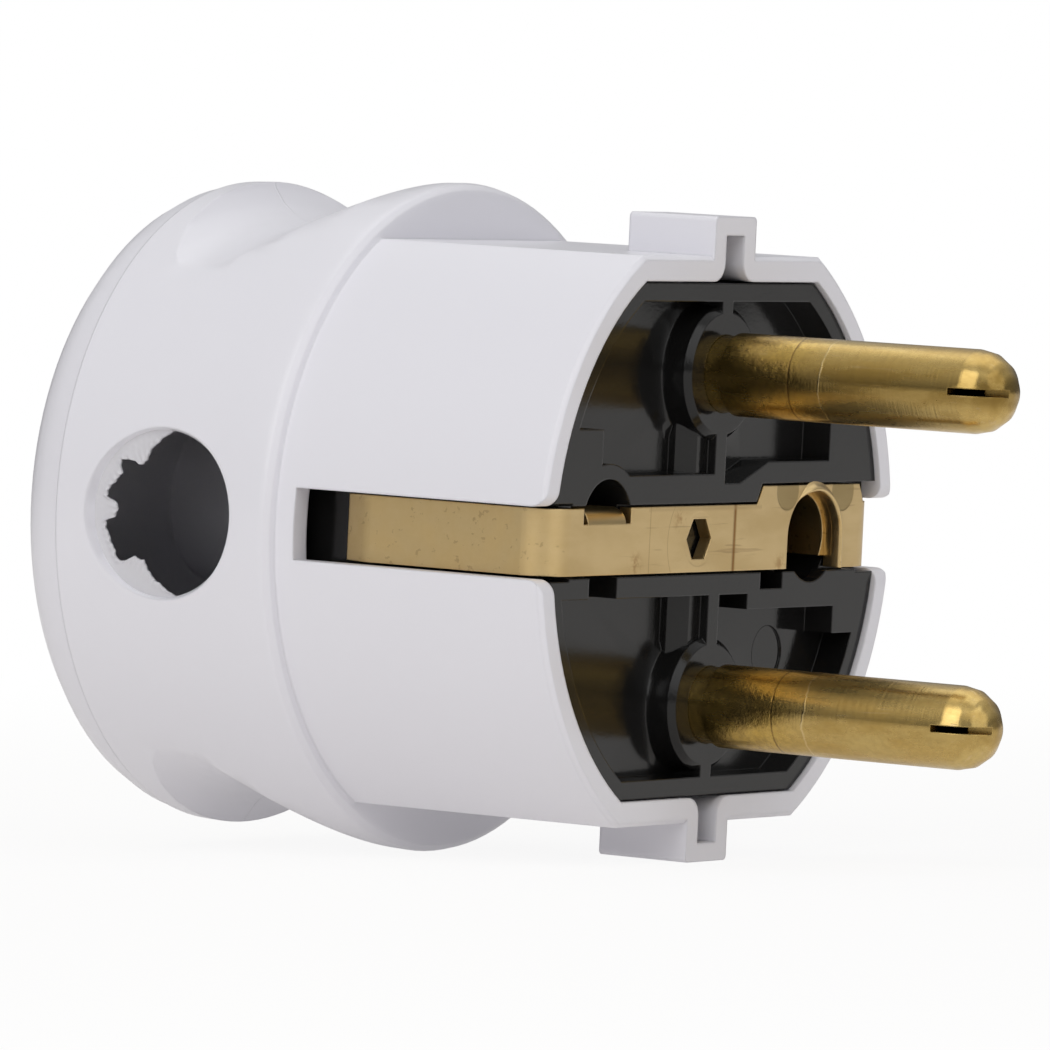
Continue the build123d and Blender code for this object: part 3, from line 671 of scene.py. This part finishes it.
@dataclass(frozen=True)
class StrapBrass(WorkedMetal):
    """Stamped strap: crease lines and a scribed arc with painted shade in their grooves, coined dimples by
    the arch with painted shade in them, a painted shadow of the insert's ledge along the top edge, and
    stains.

    The two lengths of a round mark are its radius and the width of its soft rim.
    """

    front_mm: float = -0.4
    # Painted shade: a dark line in the folded crease, which the bump also sinks.
    fold_crease_shade: Tint = Tint((0.27, 0.13, 0.03), 0.95)
    fold_mm: float = 1.86
    fold_half_mm: float = 0.26
    # Painted shade: darker fine lines in the grooves of the bend and the scribed arc, which the bump also
    # sinks.
    groove_line_shade: Tint = Tint((0.36, 0.22, 0.09), 0.55)
    bend_mm: float = -7.1
    bend_half_mm: float = 0.07
    arc_centre_mm: Point = (-0.3, -1.68, -0.1)
    arc_radius_mm: float = 3.53
    arc_half_mm: float = 0.05
    hexagon_mm: Point = (-0.3, -1.9, 0.05)
    coined_mm: Span = (1.62, 0.10)
    # Painted shadow: a darker band along the top of the strap's front, under the insert's ledge.
    ledge_shadow: Tint = Tint((0.46, 0.32, 0.15), 0.45)
    edge_up_mm: float = 1.80
    edge_half_mm: float = 0.22
    edge_middle_mm: float = -1.3
    edge_reach_mm: float = 6.0
    # Painted shade: darker patches in the coined dimples by the arch, which the bump also sinks.
    dimple_shade: Tint = Tint((0.34, 0.25, 0.11), 0.8)
    dimple_mm: Span = (1.25, 0.12)
    dimples_mm: tuple[Point, ...] = ((-0.3, 7.45, 2.75), (-0.3, 13.5, 2.65))
    stain: Tint = Tint((0.42, 0.24, 0.09))
    stain_mm: Span = (1.0, 0.9)
    stains_mm: tuple[Point, ...] = ((-0.3, -8.5, -1.3), (-0.3, 7.0, -1.6), (-0.3, -3.9, 1.2))
    stain_noise: Noise = (1500.0, 4.0, 0.65)
    stain_ramp: Ramp = (0.42, 0.62, 0.0, 0.75)
    fine_depth: float = 0.8
    coined_depth: float = 1.2
    fold_depth: float = 3.0

    def marked(
        self, bench: NodeBench, place: Socket, base: Socket, metal: bpy.types.Node
    ) -> tuple[Socket, Socket]:
        """Adds the marks of the strap's front run, all but the stains on its front face only."""
        depth, side, up = bench.split(place)
        front = bench.maths("GREATER_THAN", depth, self.front_mm * MM)
        colour = base
        cloud = bench.remap(bench.noise(place, *self.stain_noise), *self.stain_ramp)
        for centre in self.stains_mm:
            share = bench.product(bench.spot(place, centre, *self.stain_mm), cloud)
            colour = self.stain.over(bench, colour, share)
        # Painted shade in the coined dimples by the arch, on the front face only.
        spots = (bench.spot(place, centre, *self.dimple_mm) for centre in self.dimples_mm)
        dimple_shade = bench.product(bench.maths("MAXIMUM", *spots), front)
        colour = self.dimple_shade.over(bench, colour, dimple_shade)
        # Painted shade in the folded crease, on the front face only.
        fold_crease_shade = bench.product(bench.band(side, self.fold_mm, self.fold_half_mm), front)
        colour = self.fold_crease_shade.over(bench, colour, fold_crease_shade)
        bend = bench.band(side, self.bend_mm, self.bend_half_mm)
        fine = bench.product(bench.maths("MAXIMUM", bend, self._arc(bench, place, side)), front)
        # Painted shade in the grooves of the bend and the arc.
        colour = self.groove_line_shade.over(bench, colour, fine)
        # Painted shadow of the insert's ledge along the top of the strap's front; the mask below carries
        # it.
        off_middle = bench.maths("ABSOLUTE", bench.maths("SUBTRACT", side, self.edge_middle_mm * MM))
        between = bench.maths("LESS_THAN", off_middle, self.edge_reach_mm * MM)
        rolled = bench.product(bench.band(up, self.edge_up_mm, self.edge_half_mm), between, front)
        colour = self.ledge_shadow.over(bench, colour, rolled)
        coined = bench.spot(place, self.hexagon_mm, *self.coined_mm)
        coined = bench.product(coined, front, self.coined_depth)
        sunk = bench.maths("MULTIPLY_ADD", fine, self.fine_depth, coined)
        sunk = bench.maths("MULTIPLY_ADD", bench.maths("MAXIMUM", dimple_shade, fold_crease_shade), self.fold_depth, sunk)
        return colour, bench.maths("SUBTRACT", metal.outputs["Height"], sunk)

    def _arc(self, bench: NodeBench, place: Socket, side: Socket) -> Socket:
        """Marks the scribed half circle on the near side of its centre.

        Args:
            bench: the material's bench.
            place: object coordinates.
            side: the place's length across the plug.

        Returns:
            1 on the line, 0 off it.
        """
        away = bench.distance(place, self.arc_centre_mm)
        ring = bench.band(away, self.arc_radius_mm, self.arc_half_mm)
        return bench.product(ring, bench.maths("LESS_THAN", side, self.arc_centre_mm[1] * MM))


def shaded_torn_white() -> MouldedPlastic:
    """Gives the finish of the torn web, whose thin edges are sharper and greyer than the moulding's: the
    grey is partly the thin film's translucency and partly painted shade of the hole's recess.
    """
    return MouldedPlastic(
        # Greyer than the white moulding: partly the thin film's translucency, partly painted shade of the
        # hole's recess.
        name="White torn web", colour=(0.66, 0.655, 0.69), shade=(0.60, 0.59, 0.62),
        speck_colour=(0.35, 0.24, 0.18), speck_share=0.05, roughness=(0.36, 0.46),
        waviness=0.5, grain=0.5, depth_mm=0.04, edge_mm=0.03,
    )


def plug_finishes() -> dict[Slot, MouldedPlastic | WorkedMetal]:
    """Gives the finish of each material slot."""
    white = MouldedPlastic(
        name="White thermoset", colour=(0.80, 0.793, 0.842), shade=(0.785, 0.778, 0.828),
        speck_colour=(0.28, 0.22, 0.18), speck_share=0.012, roughness=(0.31, 0.35),
        waviness=0.04, grain=0.06, depth_mm=0.02, edge_mm=0.22, parting=3.0,
    )
    black = MouldedPlastic(
        name="Black moulding", colour=(0.007, 0.007, 0.0073), shade=(0.010, 0.0097, 0.0093),
        speck_colour=(0.12, 0.10, 0.08), speck_share=0.012, roughness=(0.09, 0.19),
        waviness=0.6, grain=0.35, depth_mm=0.02, edge_mm=0.12, refraction=1.42,
    )
    pin = PinBrass(
        name="Rolled brass pin", colour=(0.65, 0.48, 0.185), tarnish=(0.56, 0.375, 0.115),
        line_colour=(0.70, 0.52, 0.26), grain=Grain.ALONG_X, roughness=(0.22, 0.32),
        hairline=0.6, scratch=0.5, depth_mm=0.012, edge_mm=0.08,
    )
    strap = StrapBrass(
        name="Stamped brass strap", colour=(0.70, 0.525, 0.265), tarnish=(0.65, 0.475, 0.225),
        line_colour=(0.45, 0.31, 0.15), grain=Grain.ALONG_Y, roughness=(0.28, 0.38),
        hairline=0.5, scratch=0.4, depth_mm=0.010, edge_mm=0.10,
    )
    terminal = WorkedMetal(
        name="Machined brass", colour=(0.66, 0.48, 0.22), tarnish=(0.55, 0.38, 0.16),
        line_colour=(0.5, 0.35, 0.16), grain=Grain.ALONG_Z, roughness=(0.25, 0.38),
        hairline=0.6, scratch=0.3, depth_mm=0.012, edge_mm=0.08,
    )
    steel = WorkedMetal(
        name="Zinc plated steel", colour=(0.58, 0.59, 0.61), tarnish=(0.48, 0.48, 0.50),
        line_colour=(0.35, 0.35, 0.36), grain=Grain.ALONG_Y, roughness=(0.28, 0.42),
        hairline=0.6, scratch=0.4, depth_mm=0.012, edge_mm=0.08,
    )
    return {
        Slot.WHITE: white, Slot.BLACK: black, Slot.PIN: pin,
        Slot.STRAP: strap, Slot.TERMINAL: terminal, Slot.STEEL: steel,
    }


def add_object(name: str, data: bpy.types.ID) -> bpy.types.Object:
    """Makes an object of a mesh, lamp or camera and links it to the scene."""
    thing = bpy.data.objects.new(name, data)
    bpy.context.scene.collection.objects.link(thing)
    return thing


def quads(index: np.ndarray, ahead: np.ndarray) -> list[list[int]]:
    """Joins neighbouring points of a grid into quads.

    Args:
        index: point numbers by row and column.
        ahead: numbers of the same points' neighbours in the next column.

    Returns:
        The four corner numbers of each quad.
    """
    corners = (index[:-1], index[1:], ahead[1:], ahead[:-1])
    return np.stack(corners, axis=-1).reshape(-1, 4).tolist()


def closed_piece(name: str, points: np.ndarray) -> bpy.types.Object:
    """Makes a closed tube from sections of points, with a flat face at each end.

    Neighbouring points along and round the tube make one quad each.

    Args:
        name: the object's name.
        points: sections by points round each by 3, in metres.

    Returns:
        The object, linked to the scene, with its faces pointing outwards.
    """
    rows, columns = points.shape[:2]
    index = np.arange(rows * columns).reshape(rows, columns)
    faces = [*quads(index, np.roll(index, -1, axis=1)), index[0].tolist(), index[-1].tolist()]
    mesh = bpy.data.meshes.new(name)
    mesh.from_pydata(points.reshape(-1, 3).tolist(), [], faces)
    shape = bmesh.new()
    shape.from_mesh(mesh)
    bmesh.ops.recalc_face_normals(shape, faces=shape.faces)
    shape.to_mesh(mesh)
    shape.free()
    mesh.shade_smooth()
    mesh.set_sharp_from_angle(angle=PIECE_CREASE)
    return add_object(name, mesh)


def dress_piece(piece: bpy.types.Object, finish: bpy.types.Material) -> bpy.types.Object:
    """Gives a new piece its finish and lets it ride on the plug."""
    piece.data.materials.append(finish)
    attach(piece, BODY)
    log.info("made %s in %s", piece.name, finish.name)
    return piece


@dataclass(frozen=True)
class CordHole:
    """Place and size of the cord hole in the grip, in mm."""

    x: float = -26.2
    z: float = 0.0
    radius: float = 4.80
    inner_y: float = -17.2
    outer_y: float = -18.3
    wall_slack: float = 0.02
    axis_clear: float = 0.5
    buried_radius: float = 4.86

    def clear(self, mesh: bpy.types.Mesh) -> None:
        """Pushes the plain teeth of the hole back into its wall, where the torn web stands for them.

        Points inside the hole's radius and between two depths move outwards from its axis to a
        radius just above the hole's own, where the wall hides them. All points are one array.

        Args:
            mesh: the copied mesh of the housing.
        """
        places = np.empty(len(mesh.vertices) * 3)
        mesh.vertices.foreach_get("co", places)
        places = places.reshape(-1, 3) / MM
        across = places[:, 0] - self.x
        up = places[:, 2] - self.z
        reach = np.hypot(across, up)
        level = (places[:, 1] > self.outer_y) & (places[:, 1] < self.inner_y)
        tooth = level & (reach < self.radius - self.wall_slack) & (reach > self.axis_clear)
        grow = np.where(tooth, self.buried_radius / np.maximum(reach, self.axis_clear), 1.0)
        places[:, 0] = self.x + across * grow
        places[:, 2] = self.z + up * grow
        mesh.vertices.foreach_set("co", (places * MM).ravel())
        mesh.update()
        log.info("%d points of the teeth moved into the wall", int(tooth.sum()))


@dataclass(frozen=True)
class CordHoleWeb:
    """What is left of the thin web that closed the cord hole: a torn film along its rear half.

    Lengths are in mm. Each row of the section gives one point of the film's cross section: the
    share of the way from the torn edge to the wall, an extra radius, the share of the ramp's rise,
    a depth behind the front face, and how far it follows the lip's curl.
    """

    hole: CordHole = CordHole()
    root_radius: float = 4.95
    front_y: float = -18.17
    angles: tuple[float, ...] = (
        84, 89, 101, 110, 112, 114, 121, 126, 128, 132, 138, 142, 146, 155, 166, 170.5, 172.0, 174, 178,
        183, 187.5, 189.0, 194, 206, 215, 221, 225, 229, 232, 239, 244, 251, 260, 268, 276, 284,
    )
    torn_radius: tuple[float, ...] = (
        4.9, 4.59, 3.99, 3.62, 3.50, 3.29, 3.21, 3.29, 3.55, 3.91, 4.30, 4.09, 3.77, 3.85, 4.21, 4.17, 3.55,
        3.42, 3.29, 3.34, 3.52, 4.17, 4.22, 4.08, 4.11, 4.27, 4.15, 3.69, 3.22, 3.16, 3.06, 3.35, 3.72,
        4.03, 4.45, 4.9,
    )
    section: tuple[tuple[float, ...], ...] = (
        (1.0, 0.15, 1.0, 0.0, 0.0),
        (1.0, 0.0, 1.0, 0.0, 0.0),
        (0.72, 0.0, 0.42, 0.0, -0.3),
        (0.45, 0.0, 0.14, 0.0, 0.0),
        (0.0, 0.14, 0.0, 0.0, 1.0),
        (0.0, 0.03, 0.0, 0.04, 1.0),
        (0.0, 0.0, 0.0, 0.12, 0.9),
        (0.0, 0.03, 0.0, 0.20, 0.8),
        (0.0, 0.14, 0.0, 0.24, 0.7),
        (0.5, 0.0, 0.0, 0.40, 0.0),
        (1.0, 0.15, 0.0, 0.75, 0.0),
    )
    steps: int = 240
    ripple: float = 0.05
    ripple_waves: Span = (23.0, 9.0)
    ripple_shift: float = 0.7
    wall_slack: float = 0.02
    full_lip: float = 0.6
    least_rise: float = 0.02
    side_rise: float = 0.14
    rise_power: float = 1.5
    least_curl: float = 0.04
    more_curl: float = 0.10
    curl_waves: float = 31.0

    def build(self, finish: bpy.types.Material) -> bpy.types.Object:
        """Carries the film's cross section round the hole.

        The radius of the torn edge is a function of the angle round the hole, given at the points
        where it turns, plus a small ripple of two sines. The section runs from the hole's wall down
        a hollow ramp to the front face, round the torn lip and back to the wall. The ramp rises by
        a power of the angle's cosine, most at the rear of the hole. The lip's curl is a sine squared.

        Args:
            finish: its material.

        Returns:
            The piece.
        """
        angle = np.radians(np.linspace(self.angles[0], self.angles[-1], self.steps))
        torn = np.interp(angle, np.radians(self.angles), self.torn_radius)
        fine, slow = self.ripple_waves
        torn = torn + self.ripple * np.sin(fine * angle) * np.sin(slow * angle + self.ripple_shift)
        torn = np.minimum(torn, self.hole.radius - self.wall_slack)[:, None]
        angle = angle[:, None]
        lip_share = np.clip((self.hole.radius - torn) / self.full_lip, 0.0, 1.0)
        rise = -self.least_rise - self.side_rise * np.abs(np.cos(angle)) ** self.rise_power
        curl = (self.least_curl + self.more_curl * np.sin(self.curl_waves * angle) ** 2) * lip_share
        share, extra, ramp, depth, curled = np.array(self.section).T
        radius = torn + share * (self.hole.radius - torn) + extra * lip_share
        radius = np.minimum(radius, self.root_radius)
        level = self.front_y + ramp * rise + depth - curled * curl
        across = self.hole.x + radius * np.cos(angle)
        up = self.hole.z + radius * np.sin(angle)
        points = np.stack([across, level, up], axis=-1)
        web = closed_piece("cord_hole_web", points * MM)
        return dress_piece(web, finish)


@dataclass(frozen=True)
class ArchLip:
    """Raised lip round the arched opening of the earth strap, in mm."""

    centre: Span = (10.3, 0.0)
    radius: float = 2.65
    foot_z: float = -1.85
    plate_x: float = -0.32
    starts_at: float = 0.75
    least: float = 0.04
    turns: int = 56
    run: int = 8
    section: tuple[Span, ...] = (
        (-0.02, -0.60), (-0.02, -0.10), (0.02, 0.03), (0.10, 0.09), (0.20, 0.07), (0.30, -0.03),
        (0.38, -0.15), (0.47, -0.25), (0.58, -0.31), (0.58, -0.60),
    )

    def build(self, finish: bpy.types.Material) -> bpy.types.Object:
        """Carries the lip's profile up one side of the arch, over its half circle and down again.

        Each place on the path has a direction away from the opening, along which the profile's
        first number is laid. Its second number is its place along the pins. The lip grows smoothly
        from almost nothing on the near side to its full height over the top and down the far side.

        Args:
            finish: its material.

        Returns:
            The piece.
        """
        rise = np.linspace(self.foot_z, self.centre[1], self.run, endpoint=False)
        turn = np.linspace(math.pi, 0.0, self.turns)
        out_y = np.concatenate([np.full(self.run, -1.0), np.cos(turn), np.full(self.run, 1.0)])[:, None]
        out_z = np.concatenate([np.zeros(self.run), np.sin(turn), np.zeros(self.run)])[:, None]
        base_z = np.concatenate([rise, np.full(self.turns, self.centre[1]), rise[::-1]])[:, None]
        outwards, forwards = np.array(self.section).T
        full = np.clip((out_y + self.starts_at) / self.starts_at, 0.0, 1.0)
        full = full * full * (3.0 - 2.0 * full)
        reach = self.radius + outwards * (self.least + (1.0 - self.least) * full)
        depth = np.minimum(forwards, self.plate_x) + np.maximum(forwards - self.plate_x, 0.0) * full
        points = np.stack([depth, self.centre[0] + out_y * reach, base_z + out_z * reach], axis=-1)
        lip = closed_piece("earth_arch_lip", points * MM)
        return dress_piece(lip, finish)


@dataclass
class PackedPlug:
    """The CAD nodes, each dressed in the finish of its slot, the stepped ones as smooth copies."""

    nodes: dict[str, bpy.types.Object]
    record: dict[str, object]
    made: dict[Slot, bpy.types.Material]
    stepped: tuple[str, ...] = ("housing", "pin_carrier", "upper_pin", "lower_pin")
    toothed: str = "housing"
    merge_mm: float = 0.002
    smooth_below: float = math.radians(27.0)

    def dress(self) -> None:
        """Gives every node its finish."""
        slots = {part["node"]: part["material_slot"] for part in self.record["subparts"]}
        for name, node in self.nodes.items():
            finish = self.made[Slot(slots[name])]
            piece = node
            if name in self.stepped:
                piece = self._smooth_copy(name, node)
            piece.data.materials.clear()
            piece.data.materials.append(finish)
            log.info("dressed %s in %s", name, finish.name)

    def _smooth_copy(self, name: str, node: bpy.types.Object) -> bpy.types.Object:
        """Copies a node, merges its loose triangles and shades its stepped roundings smooth.

        Edges that turn by less than the smoothing angle are shaded across, and every corner normal
        is the mean of its faces weighted by their areas, so that wide faces stay flat.

        Args:
            name: the node's name.
            node: the node's object.

        Returns:
            The copy, which stands for the node.
        """
        mesh = node.data.copy()
        mesh.name = f"{name}_smooth"
        if name == self.toothed:
            CordHole().clear(mesh)
        shape = bmesh.new()
        shape.from_mesh(mesh)
        bmesh.ops.remove_doubles(shape, verts=shape.verts, dist=self.merge_mm * MM)
        bmesh.ops.dissolve_degenerate(shape, edges=shape.edges, dist=self.merge_mm * MM)
        shape.to_mesh(mesh)
        shape.free()
        copy = add_object(f"{name}_smooth", mesh)
        for label in [layer.name for layer in mesh.attributes if layer.name == "custom_normal"]:
            mesh.attributes.remove(mesh.attributes[label])
        mesh.shade_smooth()
        mesh.set_sharp_from_angle(angle=self.smooth_below)
        weigh = copy.modifiers.new("Flat faces first", "WEIGHTED_NORMAL")
        weigh.mode = "FACE_AREA"
        weigh.keep_sharp = True
        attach(copy, BODY)
        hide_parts(name)
        return copy


@dataclass(frozen=True)
class Lamp:
    """A square area lamp that faces the plug: where it hangs, its side in metres and its watts."""

    name: str
    place: Point
    size: float
    power: float

    def hang(self) -> None:
        """Adds the lamp to the scene."""
        data = bpy.data.lights.new(self.name, "AREA")
        data.size = self.size
        data.energy = self.power
        lamp = add_object(self.name, data)
        lamp.location = self.place
        lamp.rotation_euler = (-Vector(self.place)).to_track_quat("-Z", "Y").to_euler()


@dataclass
class Studio:
    """Pale floor, soft lamps, plain world and the camera."""

    lens_mm: float = 358.3
    sensor_mm: float = 36.0
    clip_start: float = 0.01
    place: Point = (0.318943, -0.505473, 0.030336)
    right: Point = (0.83320393, 0.55085736, 0.04824292)
    up: Point = (-0.0679129, 0.01535688, 0.99757306)
    forward: Point = (-0.5487796, 0.83445811, -0.05020573)
    collar_rest: Point = (-18.9, 0.0, -19.5)
    lug_rest: Point = (-0.2, 0.0, -18.5)
    floor_reach: float = 1.2
    floor_lines: int = 9
    floor_colour: Colour = (0.90, 0.87, 0.84)
    whiteness: Ramp = (0.05, 0.30, 0.90, 1.0)
    mirrored_share: float = 0.3
    glow_share: float = 0.27
    sky: Ramp = (-0.1, 0.8, 0.18, 1.0)
    mirrored_sky: float = 0.62
    surround: float = 0.42
    lamps: tuple[Lamp, ...] = (
        Lamp("Key", (0.05, -1.05, 0.72), 1.1, 7.6),
        Lamp("Front", (0.85, -0.10, 0.50), 0.9, 2.1),
        Lamp("Top", (-0.1, 0.25, 0.9), 0.9, 1.8),
    )

    def build(self) -> None:
        """Sets up everything round the plug: a large soft lamp on its near side and two weaker ones."""
        self._camera()
        self._world()
        self._floor()
        for lamp in self.lamps:
            lamp.hang()

    def _camera(self) -> None:
        """Puts the camera where the picture was taken from."""
        data = bpy.data.cameras.new("Camera")
        data.sensor_width = self.sensor_mm
        data.lens = self.lens_mm
        data.clip_start = self.clip_start
        camera = add_object("Camera", data)
        turn = Matrix((self.right, self.up, tuple(-part for part in self.forward))).transposed()
        camera.matrix_world = Matrix.Translation(self.place) @ turn.to_4x4()
        bpy.context.scene.camera = camera

    def _direct(self, bench: NodeBench, rays: bpy.types.Node) -> Socket:
        """Marks what the camera sees, straight or through something clear."""
        return bench.maths("MAXIMUM", rays.outputs["Is Camera Ray"], rays.outputs["Is Transmission Ray"])

    def _world(self) -> None:
        """Gives a white surround to the camera and a graded one to reflections and light."""
        world = bpy.data.worlds.new("Studio")
        bpy.context.scene.world = world
        bench = blank_bench(world)
        rays = bench.add("ShaderNodeLightPath")
        place = bench.add("ShaderNodeTexCoord")
        _, _, up = bench.split(place.outputs["Generated"])
        height = bench.remap(up, *self.sky)
        light = bench.product(height, self.surround)
        mirrored = bench.product(height, self.mirrored_sky)
        unlit = bench.blend(rays.outputs["Is Glossy Ray"], light, mirrored)
        back = bench.add("ShaderNodeBackground")
        back.inputs["Color"].default_value = (1.0, 1.0, 1.0, 1.0)
        bench.link(bench.blend(self._direct(bench, rays), unlit, 1.0), back.inputs["Strength"])
        output = bench.add("ShaderNodeOutputWorld")
        bench.link(back.outputs[0], output.inputs[0])

    def _floor(self) -> None:
        """Lays a pale floor under the collar and the lower lug, on which the plug rests.

        A grid of two parameters across and along the slope that joins the two resting points.
        """
        collar = np.array(self.collar_rest) * MM
        lug = np.array(self.lug_rest) * MM
        along = (lug - collar) / np.linalg.norm(lug - collar)
        across = np.array((0.0, 1.0, 0.0))
        steps = np.linspace(-self.floor_reach, self.floor_reach, self.floor_lines)
        first, second = np.meshgrid(steps, steps, indexing="ij")
        points = collar + first[..., None] * along + second[..., None] * across
        index = np.arange(self.floor_lines**2).reshape(self.floor_lines, self.floor_lines)
        mesh = bpy.data.meshes.new("floor")
        mesh.from_pydata(points.reshape(-1, 3).tolist(), [], quads(index[:, :-1], index[:, 1:]))
        mesh.shade_smooth()
        floor = add_object("floor", mesh)
        floor.data.materials.append(self._floor_finish())

    def _floor_finish(self) -> bpy.types.Material:
        """Makes the floor matte for light and white for the camera, a little less white by the plug.

        Reflections see a smaller share of the white, and all other rays the least.

        Returns:
            The material.
        """
        material = bpy.data.materials.new("Pale floor")
        bench = blank_bench(material)
        rays = bench.add("ShaderNodeLightPath")
        matte = bench.add("ShaderNodeBsdfDiffuse")
        matte.inputs["Color"].default_value = (*self.floor_colour, 1.0)
        glow = bench.add("ShaderNodeEmission")
        glow.inputs["Strength"].default_value = 1.0
        place = bench.add("ShaderNodeTexCoord")
        away = bench.vectors("LENGTH", place.outputs["Object"])
        mirrored = bench.product(rays.outputs["Is Glossy Ray"], self.mirrored_share)
        shown = bench.maths("MAXIMUM", self._direct(bench, rays), mirrored)
        shown = bench.maths("MAXIMUM", shown, self.glow_share)
        mixed = bench.add("ShaderNodeMixShader")
        bench.link(bench.product(shown, bench.remap(away, *self.whiteness)), mixed.inputs[0])
        bench.link(matte.outputs[0], mixed.inputs[1])
        bench.link(glow.outputs[0], mixed.inputs[2])
        output = bench.add("ShaderNodeOutputMaterial")
        bench.link(mixed.outputs[0], output.inputs[0])
        return material


def main() -> None:
    """Builds the studio and dresses the plug."""
    logging.basicConfig(level=logging.INFO, format="%(message)s")
    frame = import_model()
    bpy.context.scene.view_settings.view_transform = "Standard"
    Studio().build()
    effects = SurfaceEffects()
    made = {slot: finish.build(effects) for slot, finish in plug_finishes().items()}
    PackedPlug(frame["nodes"], frame["record"], made).dress()
    CordHoleWeb().build(shaded_torn_white().build(effects))
    ArchLip().build(made[Slot.STRAP])
    log.info("the plug is dressed")


if __name__ == "__main__":
    main()
